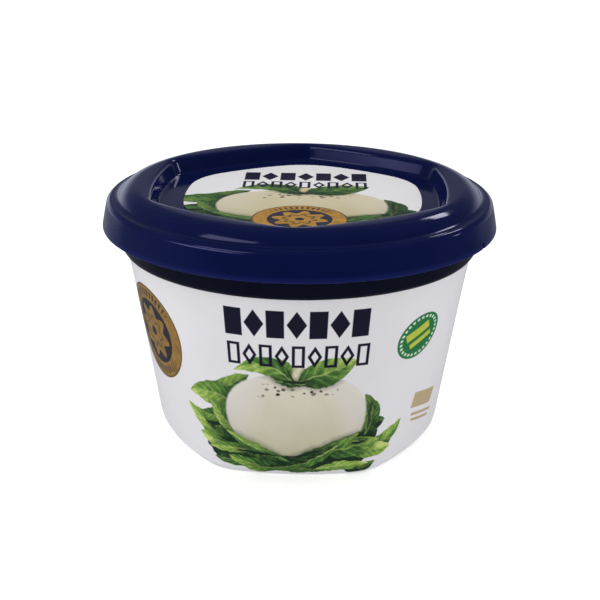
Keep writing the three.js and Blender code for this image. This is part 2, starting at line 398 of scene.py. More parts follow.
# %% [markdown]
# ## The lid's mesh
# The section is spun first and notched after, while it is still a bmesh. The normals are worked
# out again, and no edge may be left open, because the lid has to be a closed wall.

# %% Lid body
lid_mesh = turned(lid_section, PANEL_HEX)
for degrees in NOTCH_ANGLES:
    cut_notch(lid_mesh, degrees)
bmesh.ops.recalc_face_normals(lid_mesh, faces=lid_mesh.faces)
print("open edges on the lid:", sum(edge.is_boundary for edge in lid_mesh.edges))
lid = finish_mesh("lid_cap", lid_mesh)
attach(lid, "root")
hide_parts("lid")

# %% [markdown]
# ## The lid's label
# A flat six-sided film lies on the panel, a little to one side of its middle, with corners over
# the panel's corners.

# %% Lid label
LID_LABEL_OFFSET_X = 0.9
LID_FILM = 0.25
LABEL_RIM = 1
label_edge = LID_LABEL_HEX["apothem"]
label_foot = PANEL_Z + FILM_GAP
lid_label_section = [
    Vector((0, label_foot, 0)),
    Vector((label_edge, label_foot, 1)),
    Vector((label_edge, label_foot + LID_FILM, 1)),
    Vector((label_edge - LABEL_RIM, label_foot + LID_FILM, 1)),
    Vector((0, label_foot + LID_FILM, 0)),
]
bm = turned(lid_label_section, LID_LABEL_HEX, closed=False)
bmesh.ops.translate(bm, verts=bm.verts, vec=(LID_LABEL_OFFSET_X * MM, 0, 0))
lid_label = finish_mesh("lid_film", bm)
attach(lid_label, "root")
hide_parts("lid_label")

# %% [markdown]
# ## Shader maths as expressions
# A procedural finish is mostly arithmetic on coordinates. Wiring each step by hand hides the idea,
# so one small class wraps a socket and turns Python's operators into Math nodes. Everything else
# comes from one method that makes a node from its type, settings and inputs.

# %% Signals and wiring
def both_ways(operation):
    """An operator's two methods: with the signal on its left, and with it on its right."""
    return (lambda signal, other: signal.maths(operation, signal, other),
            lambda signal, other: signal.maths(operation, other, signal))


class Signal:
    """An output socket that can be used in expressions."""

    __add__, __radd__ = both_ways("ADD")
    __sub__, __rsub__ = both_ways("SUBTRACT")
    __mul__, __rmul__ = both_ways("MULTIPLY")
    __truediv__, __rtruediv__ = both_ways("DIVIDE")
    __pow__ = both_ways("POWER")[0]

    def __init__(self, wiring, socket):
        self.wiring = wiring
        self.socket = socket

    def __abs__(self):
        return self.maths("ABSOLUTE", self)

    def maths(self, operation, *values, clamp=False):
        settings = {"operation": operation, "use_clamp": clamp}
        return self.wiring.node("ShaderNodeMath", settings, dict(enumerate(values)))

    def least(self, other):
        return self.maths("MINIMUM", self, other)

    def most(self, other):
        return self.maths("MAXIMUM", self, other)

    def wrapped(self, low, high):
        """Brings the value into a range by steps of the range's length."""
        return self.maths("WRAP", self, high, low)

    def clamped(self):
        return self.maths("ADD", self, 0, clamp=True)

    def ramp(self, start, slope):
        """0 up to a start, then rising by a slope to 1. A slope below 0 runs the other way."""
        return ((self - start) * slope).clamped()

    def sine(self):
        return self.maths("SINE", self)

    def root(self):
        return self.maths("SQRT", self)

    def angle_to(self, other):
        return self.maths("ARCTAN2", self, other)


class Wiring:
    """A node tree that is being wired."""

    def __init__(self, tree):
        self.tree = tree

    def node(self, kind, settings=None, inputs=None, output=0):
        """Makes a node: settings first, then a value or a link for each named or numbered input."""
        made = self.tree.nodes.new(kind)
        for name, value in (settings or {}).items():
            setattr(made, name, value)
        for key, value in (inputs or {}).items():
            if isinstance(value, Signal):
                self.tree.links.new(value.socket, made.inputs[key])
            else:
                made.inputs[key].default_value = value
        return Signal(self, made.outputs[output])

    def axes(self, vector):
        """The three numbers of a vector."""
        outputs = self.node("ShaderNodeSeparateXYZ", inputs={0: vector}).socket.node.outputs
        return [Signal(self, outputs[axis]) for axis in "XYZ"]

    def point(self, x, y):
        return self.node("ShaderNodeCombineXYZ", inputs={0: x, 1: y})

    def noise(self, vector, scale, detail=2, roughness=0.5):
        inputs = {"Vector": vector, "Scale": scale, "Detail": detail, "Roughness": roughness}
        return self.node("ShaderNodeTexNoise", inputs=inputs)

    def blend(self, below, above, amount):
        """One colour over another, by an amount from 0 to 1."""
        return self.node("ShaderNodeMix", {"data_type": "RGBA"},
                         {0: amount, 6: below, 7: above}, output=2)

    def tinted(self, colour, tint, amount):
        """A colour multiplied by a tint, by an amount from 0 to 1."""
        return self.node("ShaderNodeMix", {"data_type": "RGBA", "blend_type": "MULTIPLY"},
                         {0: amount, 6: colour, 7: tint}, output=2)


class Finish(Wiring):
    """A material built on a Principled shader."""

    def __init__(self, name, **constants):
        self.material = bpy.data.materials.new(name)
        self.material.use_nodes = True
        super().__init__(self.material.node_tree)
        self.shader = self.tree.nodes["Principled BSDF"]
        for socket, value in constants.items():
            self.shader.inputs[socket.replace("_", " ")].default_value = value

    def drive(self, socket, signal):
        self.tree.links.new(signal.socket, self.shader.inputs[socket])

    def place(self):
        """Object coordinates in metres, which are the pot's own."""
        return self.node("ShaderNodeTexCoord", output="Object")

    def bump(self, height, strength, depth):
        inputs = {"Height": height, "Strength": strength, "Distance": depth}
        self.drive("Normal", self.node("ShaderNodeBump", inputs=inputs))

    def put_on(self, piece):
        piece.data.materials.clear()
        piece.data.materials.append(self.material)


class Stencil(Wiring):
    """A node group: wired once, then stamped as a single node wherever it is needed."""

    def __init__(self, name, sockets):
        super().__init__(bpy.data.node_groups.new(name, "ShaderNodeTree"))
        self.inputs = self.tree.nodes.new("NodeGroupInput")
        self.outputs = self.tree.nodes.new("NodeGroupOutput")
        for socket in sockets.split():
            self.add(socket, "INPUT")

    def __getitem__(self, socket):
        return Signal(self, self.inputs.outputs[socket])

    def add(self, socket, direction):
        """Adds a socket: for a colour if its name says so, and otherwise for a number."""
        kind = "NodeSocketColor" if "colour" in socket else "NodeSocketFloat"
        self.tree.interface.new_socket(name=socket, in_out=direction, socket_type=kind)

    def give(self, **results):
        """Wires the group's results to its outputs."""
        for name, signal in results.items():
            self.add(name, "OUTPUT")
            self.tree.links.new(signal.socket, self.outputs.inputs[name])

    def used_in(self, wiring, **values):
        """Adds the group to a tree, and returns its results."""
        made = wiring.node("ShaderNodeGroup", {"node_tree": self.tree}, values)
        return [Signal(wiring, socket) for socket in made.socket.node.outputs]


# %% [markdown]
# ## Plastic finishes
# The tub is nearly black and the lid a deep navy, both moulded in a polished tool. Injection-
# moulded polypropylene is never a perfect mirror: it has a faint orange-peel, a slow change of
# gloss where the melt flowed, and tiny scuffs from packing.

# %% Navy lid plastic
PER_METRE = 1000
FLOW_SCALE, CLOUD_SCALE, SCUFF_SCALE = 45, 160, 2600
SCUFF_DIRECTION = (1, 0.12, 1)
SCUFF_FROM = 0.62
FLOW_DEPTH = 0.06 * MM
PAINTED_GLOW_AMOUNT = 0.8


def moulded_plastic(name, deep, light, roughness, gloss, tint, painted_edge_glow=None):
    """A polished moulding with flow marks, fine scuffs and a painted glow along a thin edge."""
    finish = Finish(name, Specular_IOR_Level=gloss, Specular_Tint=tint)
    place = finish.place()
    flow = finish.noise(place, FLOW_SCALE)
    cloud = finish.noise(place, CLOUD_SCALE, 4, 0.6)
    stretch = {"Vector": place, "Scale": SCUFF_DIRECTION}
    scuffs = finish.noise(finish.node("ShaderNodeMapping", None, stretch), SCUFF_SCALE, 3, 0.7)
    tone = (flow * 0.6 + cloud * 0.4 - 0.3) * 2
    colour = finish.blend(deep, light, tone)
    # Painted glow: a lighter blue near the lip's bottom edge stands for light through thin plastic.
    if painted_edge_glow:
        foot, depth, glow = painted_edge_glow
        height = finish.axes(place)[2] * PER_METRE
        painted_glow_share = (1 - (height - foot) / depth).clamped()
        colour = finish.blend(colour, glow, painted_glow_share * PAINTED_GLOW_AMOUNT)
    finish.drive("Base Color", colour)
    scuffed = scuffs.ramp(SCUFF_FROM, 6) * cloud
    finish.drive("Roughness", roughness + (cloud - 0.5) * 0.04 + scuffed * 0.03)
    finish.bump(flow, 0.5, FLOW_DEPTH)
    return finish


# The lip's painted glow: its foot height and depth in millimetres, and its colour.
PAINTED_LIP_GLOW = (LIP_Z, 1.6, (0.01, 0.016, 0.095, 1))
lid_plastic = moulded_plastic(
    "navy_moulded_lid", deep=(0.0021, 0.005, 0.039, 1), light=(0.0036, 0.0073, 0.053, 1),
    roughness=0.09, gloss=0.5, tint=(0.58, 0.57, 1, 1), painted_edge_glow=PAINTED_LIP_GLOW)
lid_plastic.put_on(lid)

# %% Black tub plastic
tub_plastic = moulded_plastic(
    "black_moulded_tub", deep=(0.0028, 0.0036, 0.012, 1), light=(0.004, 0.005, 0.0165, 1),
    roughness=0.35, gloss=0.2, tint=(0.5, 0.55, 1, 1))
tub_plastic.put_on(tub)
for plastic in (lid_plastic, tub_plastic):
    print(plastic.material.name, len(plastic.tree.nodes), "nodes")

# %% [markdown]
# ## Drawing with masks
# Print is drawn as on paper, from the back to the front: each shape is a mask between 0 and 1, and
# its ink covers what lies below. Coordinates are millimetres on the film. A shape's edge is one
# soft step wide, about as sharp as good packaging print. An artwork object keeps the colour so far
# and how much of the film is covered, so that shadows fall on print but never on bare film.

# %% Print shapes
EDGE = 0.16
INK_GAIN = 1.04
WOBBLE_SCALE, GRAIN_SCALE = 0.33, 0.42


def ink(red, green, blue):
    """A printed colour, given as it looks on the lit pot (0 to 255), as a linear surface colour."""
    seen = [value / 255 for value in (red, green, blue)]
    return (*[((part + 0.055) / 1.055) ** 2.4 * INK_GAIN for part in seen], 1)


def step_in(distance, edge=EDGE):
    """1 where a distance in millimetres is inside, 0 outside, with a soft edge."""
    return (distance / edge + 0.5).clamped()


def bar(x, y, left, right, bottom, top):
    """Distance inside an upright box."""
    across = abs(x - (left + right) / 2)
    along = abs(y - (bottom + top) / 2)
    return ((right - left) / 2 - across).least((top - bottom) / 2 - along)


def lozenge(x, y, half_width, half_height):
    """Distance inside a lozenge round the origin."""
    slope = half_width * half_height / math.hypot(half_width, half_height)
    return (1 - abs(x) / half_width - abs(y) / half_height) * slope


class Artwork:
    """Print that is built up on a film."""

    def __init__(self, wiring, x, y, paper, cover=0):
        self.wiring = wiring
        self.x, self.y = x, y
        self.colour = paper
        self.cover = cover
        self.plane = wiring.point(x, y)
        self.wobble = wiring.noise(self.plane, WOBBLE_SCALE, 2, 0.6) - 0.5
        self.grain = wiring.noise(self.plane, GRAIN_SCALE, 3, 0.6) - 0.5

    def stamp(self, mask, colour):
        """Prints a colour through a mask."""
        self.colour = self.wiring.blend(self.colour, colour, mask)
        self.cover = mask.most(self.cover)

    def shade(self, amount, colour):
        """Darkens only what is already printed."""
        self.colour = self.wiring.blend(self.colour, colour, amount * self.cover)

    def framed(self, centre_x, centre_y, degrees=0, size=1):
        """Coordinates in a frame that is moved, turned and enlarged on the film."""
        inputs = {
            "Vector": self.plane,
            "Location": (centre_x, centre_y, 0),
            "Rotation": (0, 0, math.radians(degrees)),
            "Scale": (size, size, 1),
        }
        placed = self.wiring.node("ShaderNodeMapping", {"vector_type": "TEXTURE"}, inputs)
        return self.wiring.axes(placed)[:2]


# %% [markdown]
# ## A printed leaf
# A leaf is a lens between its stalk and its tip, bent a little, with a wavy edge. Its tone runs
# from the stalk to the tip, one half catches more light, the midrib and the side veins are paler,
# and a soft shadow falls on the print below it. It is wired once as a group, because the picture
# needs it many times.

# %% Leaf
DEEP_GREEN = ink(24, 50, 30)
LEAF_GREEN = ink(62, 110, 42)
FRESH_GREEN = ink(122, 158, 60)
PALE_GREEN = ink(188, 202, 116)

EDGE_WAVE = 1.6
BLADE_POWER, BLADE_TAPER = 0.85, 0.4
RIB_WIDTH = 0.3
VEIN_SLANT, VEIN_FROM = 0.22, 0.75
FOLD_LIGHT, GRAIN_LIGHT, VEIN_LIGHT = 0.26, 0.9, 0.06
FRESH_FROM, PALE_FROM = 0.38, 0.74
SHADOW_FADE, SHADOW_DARK = 0.6, 0.5
IN_TURN = 1e-6

leaf_stencil = Stencil("leaf", "x y stalk_x stalk_y way_x way_y length half_width bend veins "
                               "stalk_light tip_light wobble grain colour_below cover")


def wire_leaf(group):
    """Wires the leaf. It starts from the cover below it, so leaves are worked out one by one."""
    length = group["length"]
    in_turn = group["cover"] * IN_TURN
    x = group["x"] - group["stalk_x"] + in_turn
    y = group["y"] - group["stalk_y"] + in_turn
    s = (x * group["way_x"] + y * group["way_y"]) / length
    room = (s * (1 - s)).most(0)
    axis = room * length * group["bend"] * 4
    t = y * group["way_x"] - x * group["way_y"] - axis + group["wobble"] * EDGE_WAVE
    width = (room * 4) ** BLADE_POWER * (1.2 - s * BLADE_TAPER) * group["half_width"]
    inside = (width - abs(t)).least(s * (1 - s) * length * 4)
    across = t / width.most(0.01)
    fold = (across * 3).least(0.5).most(-0.5)
    rib = (1 - abs(t) / RIB_WIDTH).clamped() * (0.8 - s * 0.6)
    stripes = ((s - abs(across) * VEIN_SLANT) * group["veins"] * math.tau).sine()
    vein = stripes.ramp(VEIN_FROM, 3) * 0.5
    light = group["stalk_light"] + (group["tip_light"] - group["stalk_light"]) * s
    relief = fold * FOLD_LIGHT + group["grain"] * GRAIN_LIGHT
    tone = (light + relief + stripes * VEIN_LIGHT).clamped()
    body = group.blend(DEEP_GREEN, LEAF_GREEN, tone * 2.6)
    body = group.blend(body, FRESH_GREEN, (tone - FRESH_FROM) * 2.8)
    lit_veins = (rib + vein * tone) * (tone * 4).clamped()
    body = group.blend(body, PALE_GREEN, ((tone - PALE_FROM) * 3.4).most(lit_veins))
    shadow = (inside * SHADOW_FADE + 0.9).clamped() * SHADOW_DARK * group["cover"]
    below = group.blend(group["colour_below"], DEEP_GREEN, shadow)
    mask = step_in(inside)
    group.give(colour=group.blend(below, body, mask), cover=mask.most(group["cover"]))


wire_leaf(leaf_stencil)
print("leaf", len(leaf_stencil.tree.nodes), "nodes, wired once")


def leaves(art, rows, veins=7):
    """Prints leaves, each from its stalk to its tip."""
    for stalk, tip, half_width, bend, stalk_light, tip_light in rows:
        way = (Vector(tip) - Vector(stalk)).normalized()
        art.colour, art.cover = leaf_stencil.used_in(
            art.wiring, x=art.x, y=art.y, stalk_x=stalk[0], stalk_y=stalk[1], way_x=way.x,
            way_y=way.y, length=math.dist(stalk, tip), half_width=half_width, bend=bend,
            stalk_light=stalk_light, tip_light=tip_light, veins=veins, wobble=art.wobble,
            grain=art.grain, colour_below=art.colour, cover=art.cover)


# %% [markdown]
# ## The picture
# The pack shows what is inside: a white burrata on salad leaves with a sprig of basil. It is drawn
# from plain shapes: a dark bed, leaves that fan out on it, a squashed ball whose foot sinks into
# them, a row of leaves in front, basil on top and a pinch of pepper from a cell texture. Each leaf
# is a row of stalk, tip, half width, bend, and its light at the stalk and the tip.

# %% Burrata on leaves
BED = {"x": -1, "y": 11.4, "half_width": 24.2, "half_height": 10, "power": 3}
BALL = {"x": 0.8, "y": 18.4, "half_width": 18.3, "half_height": 12.3, "power": 2.35}
BALL_FOOT, FOOT_MIDDLE = 5.9, -1
FOOT_SLOPE, FOOT_ROUND = 0.45, 3
CREAM = ink(203, 197, 182)
CREAM_EDGE = ink(208, 204, 199)
CREAM_LOW = ink(184, 179, 150)
CREAM_SHADE = ink(150, 146, 118)
KNOT = ink(212, 203, 172)
PEPPER = ink(48, 36, 24)
BED_GREEN = ink(22, 50, 34)
KNOT_X, KNOT_Y, KNOT_RADIUS, KNOT_FOLDS = 0.6, 30.4, 2.5, 22
PEPPER_X, PEPPER_Y, PEPPER_REACH, PEPPER_SPREAD = 1.2, 26.1, 10.2, 2.2
PEPPER_SCALE, PEPPER_SLOPE = 0.56, 0.06

BACK_LEAVES = [
    ((-23, 20), (-10.8, 30), 2.9, 0.02, 0.5, 0.58),
    ((-12.5, 20.5), (-29, 21.6), 3.7, -0.11, 0.3, 0.84),
    ((-16, 7), (-31, 17.4), 2.9, -0.02, 0.3, 0.92),
    ((-15.5, 8.6), (-27.4, 9.9), 2.2, 0.04, 0.45, 0.94),
    ((-17.5, 14.4), (-25.6, 16.1), 2.4, -0.1, 0.3, 0.46),
    ((-17.2, 12.8), (-24.6, 13.6), 1.3, 0, 0.02, 0),
    ((-16.5, 11.5), (-22, 21), 2.2, -0.06, 0.58, 0.62),
    ((-14.5, 8.6), (-21.5, 10.4), 1.3, 0.05, 0, 0.05),
    ((-9, 5.2), (-22.6, 3.7), 2.1, 0.04, 0.14, 0.22),
    ((-11, 7), (-24, 6.7), 1.6, -0.05, 0.45, 0.76),
    ((19, 14), (25.2, 15.5), 2.3, 0, 0.2, 0.14),
    ((19.6, 11.8), (18.5, 24.2), 2.3, -0.15, 0.16, 0.62),
    ((19.8, 13), (20.6, 21.5), 0.9, 0.1, 0.55, 0.05),
    ((16.4, 12.2), (19.6, 18.6), 1.3, -0.08, 0.72, 0.84),
    ((20, 7.2), (32.4, 12.8), 2.7, -0.09, 0.4, 0.68),
    ((14, 2.4), (23.9, 2.7), 1.9, -0.1, 0.1, 0.22),
    ((14.5, 8.6), (29, 6), 2.6, -0.03, 0.5, 1),
]
FRONT_LEAVES = [
    ((-3, 2.8), (-18.2, 5.1), 2.2, 0.08, 0.24, 0.66),
    ((12, 1.9), (-12, 2.3), 1.2, 0, 0.14, 0.24),
    ((-18, 12.6), (-0.5, 4), 1.5, -0.04, 0.56, 0.22),
    ((-4, 6), (-16, 7.4), 0.9, 0.06, 0, 0.05),
    ((17.8, 12.6), (2.6, 6.7), 1, 0.03, 0.66, 0.4),
    ((8, 6.6), (24.4, 9.4), 2.8, 0.03, 0.22, 0.66),
    ((10.5, 8.6), (-1.5, 5.4), 1, 0.05, 0, 0),
    ((15.5, 9.5), (20.6, 10.2), 0.8, 0.05, 0.12, 0.05),
    ((12.4, 9.4), (-4.2, 2.3), 1.8, 0.07, 0.26, 0.16),
    ((6.5, 1.9), (21.7, 2.9), 1.4, 0.03, 0.56, 0.78),
]
BASIL_LEAVES = [
    ((-0.8, 30.2), (-3.6, 35.4), 1.7, -0.05, 0.62, 0.8),
    ((0.6, 27.7), (-14.6, 31.1), 2.7, -0.23, 0.16, 0.82),
    ((1.2, 28.6), (15.4, 34.2), 3.9, -0.01, 0.12, 0.8),
    ((3.6, 28.3), (-5.4, 29.7), 0.9, 0.1, 0.02, 0.1),
]


def squashed(x, y, shape):
    """How far out a point lies in a squashed disc: 0 at its middle, 1 on its edge."""
    x, y = (x - shape["x"]) / shape["half_width"], (y - shape["y"]) / shape["half_height"]
    power = shape["power"]
    return (abs(x) ** power + abs(y) ** power) ** (1 / power), x, y


def leaf_bed(art):
    """Prints the dark mass of leaves in the shade."""
    spread = squashed(art.x, art.y, BED)[0]
    inside = (1 - spread) * BED["half_height"] + art.wobble * 1.6
    depth = art.wiring.blend(BED_GREEN, LEAF_GREEN, (art.grain * 2.5).clamped())
    art.stamp(step_in(inside), depth)


def burrata(art):
    """Prints the ball of cheese: neutral at its sides, warmer and darker towards the leaves."""
    spread, x, y = squashed(art.x, art.y, BALL)
    off_middle = art.x - FOOT_MIDDLE
    bowl = (off_middle * off_middle + FOOT_ROUND ** 2).root() - FOOT_ROUND
    above_foot = (art.y - BALL_FOOT - bowl * FOOT_SLOPE) * 0.93
    inside = ((1 - spread) * BALL["half_height"]).least(above_foot) + art.wobble * 0.4
    wiring = art.wiring
    folds = wiring.noise(wiring.point(x * 2.2 + y * 0.6, y * 0.9), 1.3, 2, 0.4) - 0.5
    pleats = wiring.noise(wiring.point(x.angle_to(y - 1.1) * 5, 0), 1) - 0.5
    low = (0.36 - y * 0.6 + folds * 0.7).clamped()
    side = (abs(x) * 1.7 - 0.75 + y * 0.3).clamped()
    rim = (spread ** 6 * 0.4).clamped() * (0.5 - y).clamped()
    colour = wiring.blend(CREAM, CREAM_LOW, low)
    colour = wiring.blend(colour, CREAM_EDGE, side)
    colour = wiring.blend(colour, CREAM_SHADE, rim + pleats.most(0) * (y + 0.1).clamped() * 0.5)
    art.shade((inside * 0.5 + 1).clamped() * 0.6, DEEP_GREEN)
    art.stamp(step_in(inside, 0.4), colour)


def knot(art):
    """Prints the tied top of the ball, a small pale ruffle."""
    x, y = art.x - KNOT_X, art.y - KNOT_Y
    folds = (x.angle_to(y + 3) * KNOT_FOLDS).sine()
    reach = (x * x / 2.2 + y * y).root()
    ruffled = art.wiring.blend(KNOT, CREAM_SHADE, folds * 0.25)
    art.stamp(step_in(KNOT_RADIUS - reach + folds * 0.25, 0.4), ruffled)


def pepper(art):
    """Scatters coarse dark specks in a band over the crown of the ball."""
    wiring = art.wiring
    spot = wiring.point(art.x, art.y * 1.2)
    cell = {"voronoi_dimensions": "2D"}, {"Vector": spot, "Scale": PEPPER_SCALE}
    reach = wiring.node("ShaderNodeTexVoronoi", *cell)
    tint = wiring.node("ShaderNodeTexVoronoi", *cell, output="Color")
    chance, size, darkness = wiring.axes(tint)
    band = PEPPER_SPREAD - abs(art.y - PEPPER_Y - art.x * PEPPER_SLOPE)
    band = band.least(PEPPER_REACH - abs(art.x - PEPPER_X))
    grain = ((size * 0.2 + 0.25 - reach) * 8).clamped() * (chance * 12 - 3.6).clamped()
    art.stamp(grain * (band * 2).clamped() * (darkness * 0.4 + 0.65).clamped(), PEPPER)


def serving_picture(art):
    """Prints the whole picture, from the back leaves to the basil."""
    leaf_bed(art)
    leaves(art, BACK_LEAVES)
    burrata(art)
    leaves(art, FRONT_LEAVES)
    knot(art)
    pepper(art)
    leaves(art, BASIL_LEAVES, veins=5)


picture_stencil = Stencil("serving_picture", "x y paper_colour")
picture_inputs = [picture_stencil[socket] for socket in ("x", "y", "paper_colour")]
picture_art = Artwork(picture_stencil, *picture_inputs)
serving_picture(picture_art)
picture_stencil.give(colour=picture_art.colour, cover=picture_art.cover)
print("picture", len(picture_stencil.tree.nodes), "nodes")

# %% [markdown]
# ## Seals and friezes
# Where the pack would carry words there are two friezes of blocks and lozenges: a bold one and a
# thin outlined one. A gold seal with a rosette and an oval green badge stand at the sides. They
# are generic on purpose, so the model can stand for any maker's pot.

# %% Medallion, badge and friezes
NAVY = ink(20, 18, 46)
GOLD = ink(146, 114, 50)
LID_GOLD = ink(188, 139, 48)
GOLD_SHADE = ink(96, 72, 42)
SEAL_DARK = ink(44, 42, 56)
BADGE_GREEN = ink(28, 114, 62)
BADGE_PALE = ink(190, 214, 186)
BADGE_YELLOW = ink(172, 182, 58)
FINE_GOLD = ink(176, 158, 122)
FINE_GREY = ink(96, 98, 112)
PETALS = 8
BEADS = 44
DASHES = 26
BARS_SLANT = -12


def medallion(art, centre_x, centre_y, radius, gold):
    """Prints a round gold seal: a beaded band, a dark ring and a rosette."""
    x, y = art.framed(centre_x, centre_y, 0, radius)
    reach = (x * x + y * y).root()
    angle = x.angle_to(y)
    inside = (1 - reach) * radius
    art.stamp(step_in(inside), GOLD_SHADE)
    worn = art.wiring.blend(gold, GOLD_SHADE, (art.grain * 1.6 + 0.25).clamped())
    art.stamp(step_in(inside - 0.45), worn)
    band = (0.075 - abs(reach - 0.83)) * radius
    beads = ((angle * BEADS).sine() * 0.6 + 0.1).clamped() * 2
    art.stamp(step_in(band) * beads * (abs(y) * 3 - 1.2).clamped(), SEAL_DARK)
    art.stamp(step_in((0.68 - reach) * radius), SEAL_DARK)
    petal = 0.5 + (angle * PETALS).sine() * 0.09
    art.stamp(step_in((petal - reach) * radius), worn)
    inner = 0.3 + (angle * PETALS).sine() * 0.05
    art.stamp(step_in((0.03 - abs(reach - inner)) * radius), GOLD_SHADE)
    art.stamp(step_in((0.1 - reach) * radius), SEAL_DARK)


def oval_badge(art, centre_x, centre_y, degrees, half_width, half_height):
    """Prints a green oval with pale dashes inside its edge and two yellow bars."""
    x, y = art.framed(centre_x, centre_y, degrees)
    across, up = x / half_width, y / half_height
    reach = (across * across + up * up).root()
    inside = (1 - reach) * half_height
    art.stamp(step_in(inside), BADGE_GREEN)
    dashes = ((up.angle_to(across) * DASHES).sine() * 2 + 0.8).clamped()
    art.stamp(step_in((0.055 - abs(reach - 0.84)) * half_height) * dashes, BADGE_PALE)
    art.stamp(step_in(bar(x, y, -4.2, 3.8, 0.4, 2.6)), BADGE_YELLOW)
    art.stamp(step_in(bar(x, y, -3.6, 4, -2.1, -0.7)), BADGE_YELLOW)


def frieze(art, left, foot, degrees, width, height, count, fill, line=None):
    """Prints a row of blocks and lozenges in turn, solid or as outlines of a line's width."""
    x, y = art.framed(left, foot + height / 2, degrees)
    pitch = width / count
    turn = x.wrapped(0, 2 * pitch)
    half = pitch * fill / 2
    block = bar(turn, y, pitch / 2 - half, pitch / 2 + half, -height / 2, height / 2)
    shape = block.most(lozenge(turn - pitch * 1.5, y, half * 1.12, height / 2))
    if line:
        shape = shape.least(line - shape)
    art.stamp(step_in(shape.least(x).least(width - x)), NAVY)


def fine_bars(art, centre_x, centre_y, widths, thickness, pitch):
    """Prints slanted gold bars under each other, where small words would be."""
    x, y = art.framed(centre_x, centre_y, BARS_SLANT)
    for row, width in enumerate(widths):
        foot = -row * pitch
        art.stamp(step_in(bar(x, y, -width / 2, width / 2, foot, foot + thickness)), FINE_GOLD)


def fine_print(art, centre_x, centre_y, width, height, pitch):
    """Prints a panel of thin grey lines with ragged ends."""
    x, y = art.framed(centre_x, centre_y)
    line = y.wrapped(-pitch / 2, pitch / 2)
    row = (y - line) / pitch
    ragged = (row * 2.4).sine() * 1.6 + (row * 5.3).sine() * 1.1 - 2.7
    edge = (width / 2 + ragged - x).least(x + width / 2).least(height / 2 - abs(y))
    art.stamp(step_in((pitch * 0.22 - abs(line)).least(edge)), FINE_GREY)


# %% [markdown]
# ## Printed films
# The wall's coordinates are the arc length round the pot at a mean radius and the height, so the
# print wraps by itself. The lid's are plain x and y. Both films are satin, with a fine ripple
# where the film follows the moulding.

# %% Film finish
WALL_PAPER = (216, 215, 219)
LID_PAPER = (228, 227, 229)
PAPER_SHADE = 0.92
FILM_ROUGHNESS = 0.42
FILM_CLOUD_SCALE, RIPPLE_SCALE = 60, 420
RIPPLE_DEPTH = 0.08 * MM


def film_finish(name, white):
    """Satin printed film, before its print."""
    finish = Finish(name, Specular_IOR_Level=0.35)
    place = finish.place()
    cloud = finish.noise(place, FILM_CLOUD_SCALE)
    paper = ink(*white)
    paper = finish.blend(paper, (*[part * PAPER_SHADE for part in paper[:3]], 1), cloud)
    finish.drive("Roughness", FILM_ROUGHNESS + (cloud - 0.5) * 0.12)
    ripple = finish.noise(place, RIPPLE_SCALE)
    finish.bump(cloud + ripple * 0.12, 0.3, RIPPLE_DEPTH)
    return finish, place, paper


# %% Wall print
MEAN_RADIUS = 41
SEAM_ARC = math.pi * MEAN_RADIUS
SEAM_WIDTH = 0.7
wall_film, place, paper = film_finish("printed_wall_film", WALL_PAPER)
across, back, up = wall_film.axes(place)
arc = across.angle_to(back * -1) * MEAN_RADIUS
height = up * PER_METRE
wall_colour, wall_cover = picture_stencil.used_in(
    wall_film, x=arc, y=height, paper_colour=paper)
wall_art = Artwork(wall_film, arc, height, wall_colour, wall_cover)
frieze(wall_art, -16.1, 41.1, degrees=-0.3, width=34, height=7.6, count=7, fill=0.84)
frieze(wall_art, -16, 32.9, degrees=-0.5, width=34.6, height=6.2, count=9, fill=0.8, line=0.75)
medallion(wall_art, -43, 33.6, radius=13, gold=GOLD)
oval_badge(wall_art, 33.2, 37.1, degrees=20, half_width=7.4, half_height=5.9)
fine_bars(wall_art, 42.6, 13.2, widths=(13,), thickness=4.6, pitch=1)
fine_bars(wall_art, 44, 10.4, widths=(14, 12), thickness=0.9, pitch=1.7)
fine_print(wall_art, 84, 30, width=30, height=22, pitch=1.7)
fine_print(wall_art, -86, 30, width=30, height=26, pitch=1.7)
seam = abs(arc).ramp(SEAM_ARC - SEAM_WIDTH / 2, 4)
wall_film.drive("Base Color", wall_film.blend(wall_art.colour, FINE_GREY, seam * 0.5))
wall_film.put_on(wall_label)
print("wall film", len(wall_film.tree.nodes), "nodes")

# %% [markdown]
# ## The lid's print
# The lid carries the same picture, larger, with friezes and a seal of its own. Its film lies
# flatter to the light, and that light is painted into the print: the cheese is tinted warmer as
# painted light and the leaves are darkened as painted shade. The two are told apart by their
# colour: a leaf holds more green than red.

# %% Lid print
PICTURE_SIZE = 1.22
PAINTED_LIGHT_WARMTH = (1, 0.95, 0.78, 1)
PAINTED_LEAF_SHADE = (0.5, 0.6, 0.66, 1)
LEAFY_FROM = 1.05
PICTURE_X, PICTURE_Y = 0.9, -10
lid_film, place, paper = film_finish("printed_lid_film", LID_PAPER)
across, back, up = lid_film.axes(place)
x, y = across * PER_METRE, back * PER_METRE
picture_x = (x - PICTURE_X) / PICTURE_SIZE + BALL["x"]
picture_y = (y - PICTURE_Y) / PICTURE_SIZE + BALL["y"]
lid_colour, lid_cover = picture_stencil.used_in(
    lid_film, x=picture_x, y=picture_y, paper_colour=paper)
red, green, _ = lid_film.axes(lid_colour)
leafy = (green / red).ramp(LEAFY_FROM, 8)
